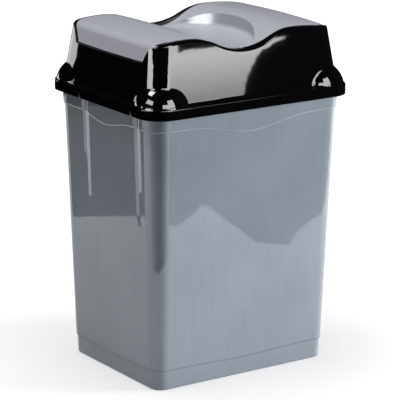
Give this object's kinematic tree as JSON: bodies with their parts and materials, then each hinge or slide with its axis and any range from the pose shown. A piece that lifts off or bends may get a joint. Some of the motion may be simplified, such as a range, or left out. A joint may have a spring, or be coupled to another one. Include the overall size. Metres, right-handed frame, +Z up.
{
  "type": "swing-top waste bin",
  "caption": "Tall tapered kitchen waste bin with a domed black hood and a wavy swing flap that tips inwards from its front lip.",
  "frame": {"origin": "middle of the base, on the floor", "axes": "+Z up; X across the short side, parallel to the flap's pivot; Y along the long side, with -Y the front, where the push lip is"},
  "size_m": [0.266, 0.326, 0.4757],
  "materials": {
    "pearl_grey_plastic": "moulded, pearl blue-grey, glossy",
    "black_plastic": "moulded, high-gloss black",
    "silver_plastic": "moulded, light silver with a fine metallic grain, satin gloss"
  },
  "bodies": {
    "bin_body": {"bin_body": "pearl_grey_plastic"},
    "lid_hood": {"lid_hood": "black_plastic"},
    "swing_flap": {"swing_flap": "silver_plastic"}
  },
  "joints": [
    {"name": "lid_lift", "type": "slide", "parent": "bin_body", "child": "lid_hood", "axis": [0, 0, 1], "range_m": [0, 0.12]},
    {"name": "flap_swing", "type": "hinge", "parent": "lid_hood", "child": "swing_flap", "pos_m": [0, -0.004, 0.44151], "axis": [1, 0, 0], "range_deg": [0, 50]}
  ]
}
